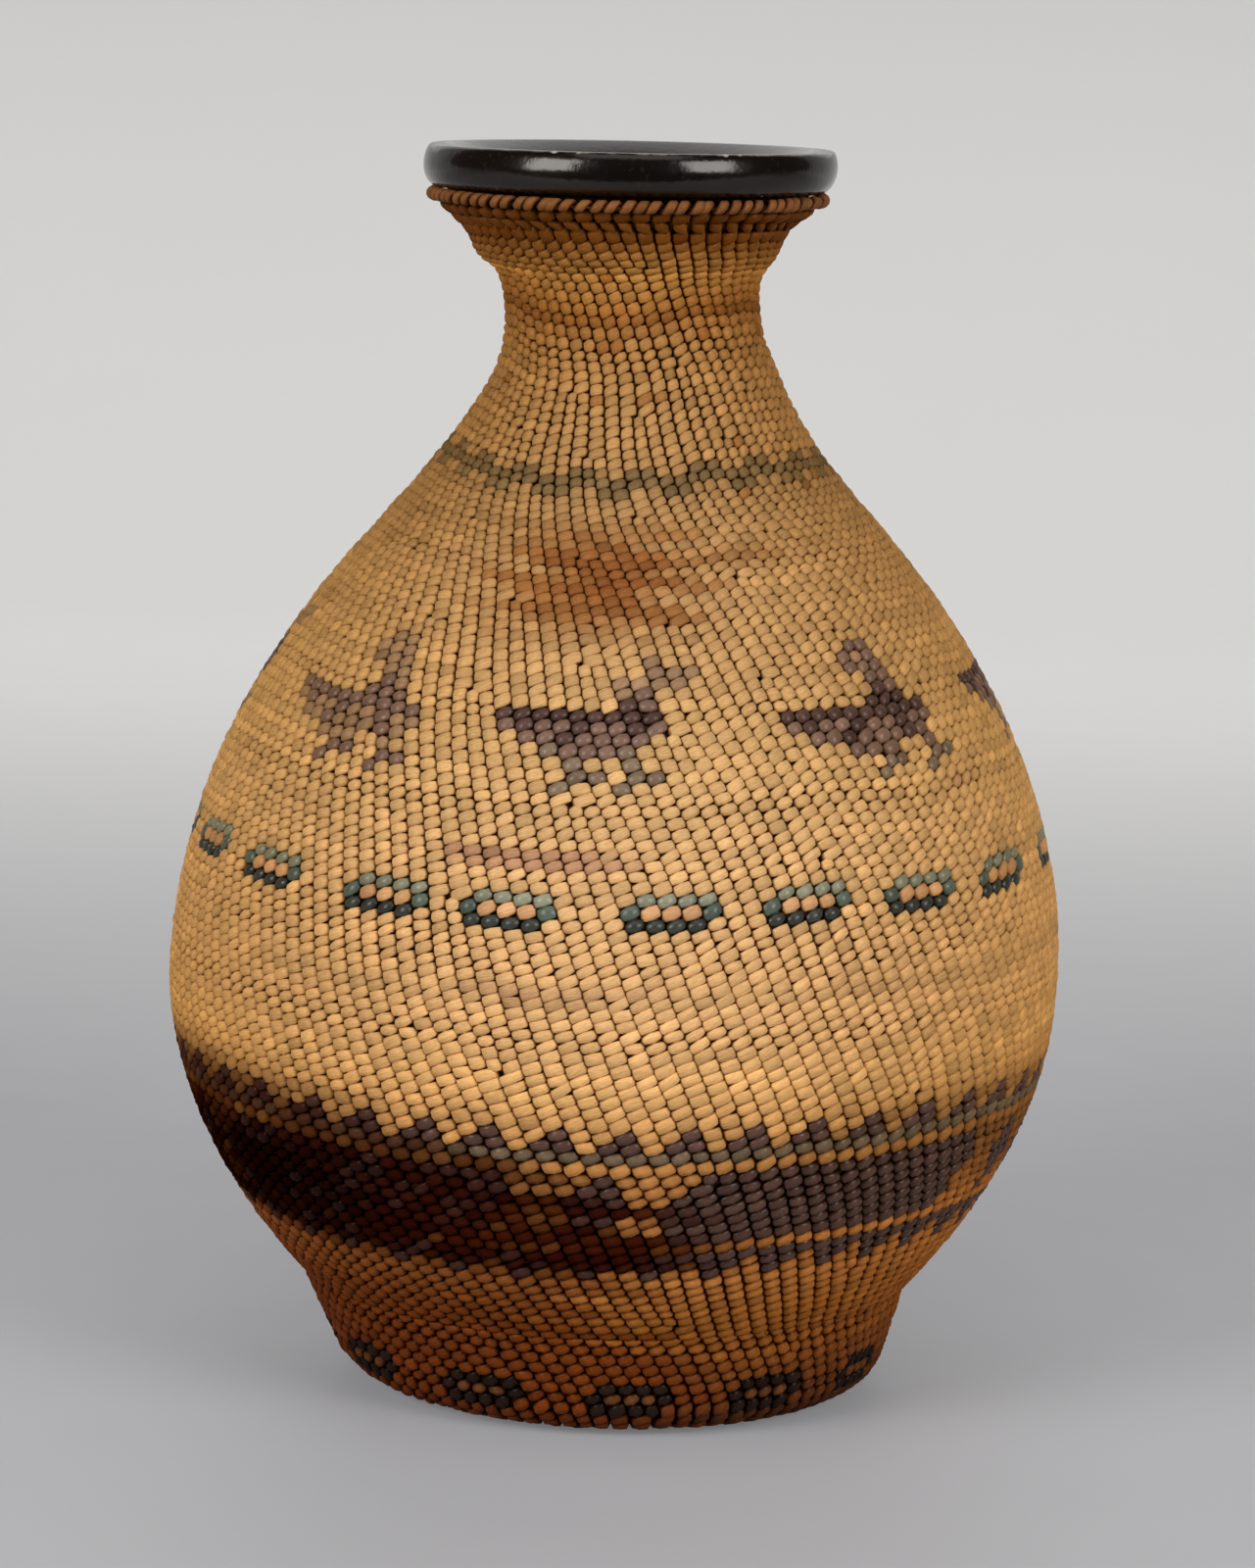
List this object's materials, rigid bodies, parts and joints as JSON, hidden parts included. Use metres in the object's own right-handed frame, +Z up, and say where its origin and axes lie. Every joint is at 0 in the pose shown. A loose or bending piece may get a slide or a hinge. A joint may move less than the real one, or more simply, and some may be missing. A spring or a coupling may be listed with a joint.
{
  "type": "basketry covered bottle",
  "caption": "Round-bellied brown-glazed stoneware bottle with a dished mouth, in a close twined basketry cover banded with birds, rings, teeth and a dark wave.",
  "frame": {"origin": "on the bottle's axis, in the plane of the flat ring that it stands on", "axes": "+Z up the bottle's axis to the mouth; -Y is the side that the picture shows"},
  "size_m": [0.1256, 0.1256, 0.174],
  "materials": {
    "brown_glaze": "dark brown glaze, glossy",
    "bark": "split bark, matt",
    "pale_natural": "plain grass weft, pale gold, satin",
    "warm_natural": "plain grass weft, handled to a warm brown, satin",
    "stained_natural": "plain grass weft with a rust-brown stain, satin",
    "shaded_natural": "plain grass weft, darkened with age, satin",
    "dyed_dark": "grass weft dyed brown-black, satin",
    "dyed_plum": "grass weft dyed purple-brown, satin",
    "dyed_green": "grass weft dyed grey-green, slight gloss",
    "dyed_olive": "grass weft dyed olive, faded, satin"
  },
  "bodies": {
    "root": {"stoneware_bottle": "brown_glaze", "base_plait": "bark", "warp_strands": "bark", "base_twining": "shaded_natural", "foot_turn_weft": "shaded_natural", "foot_dash_band": "dyed_dark", "lower_weft": "shaded_natural", "lower_tooth_band": "dyed_dark", "dark_wave_band": "dyed_dark", "upper_tooth_band": "dyed_dark", "belly_weft": "pale_natural", "ring_band": "dyed_green", "waist_weft": "pale_natural", "bird_band": "dyed_plum", "shoulder_weft": "stained_natural", "castellated_band": "dyed_olive", "neck_weft": "warm_natural", "collar_weft": "warm_natural", "edge_braid": "warm_natural"}
  },
  "joints": []
}
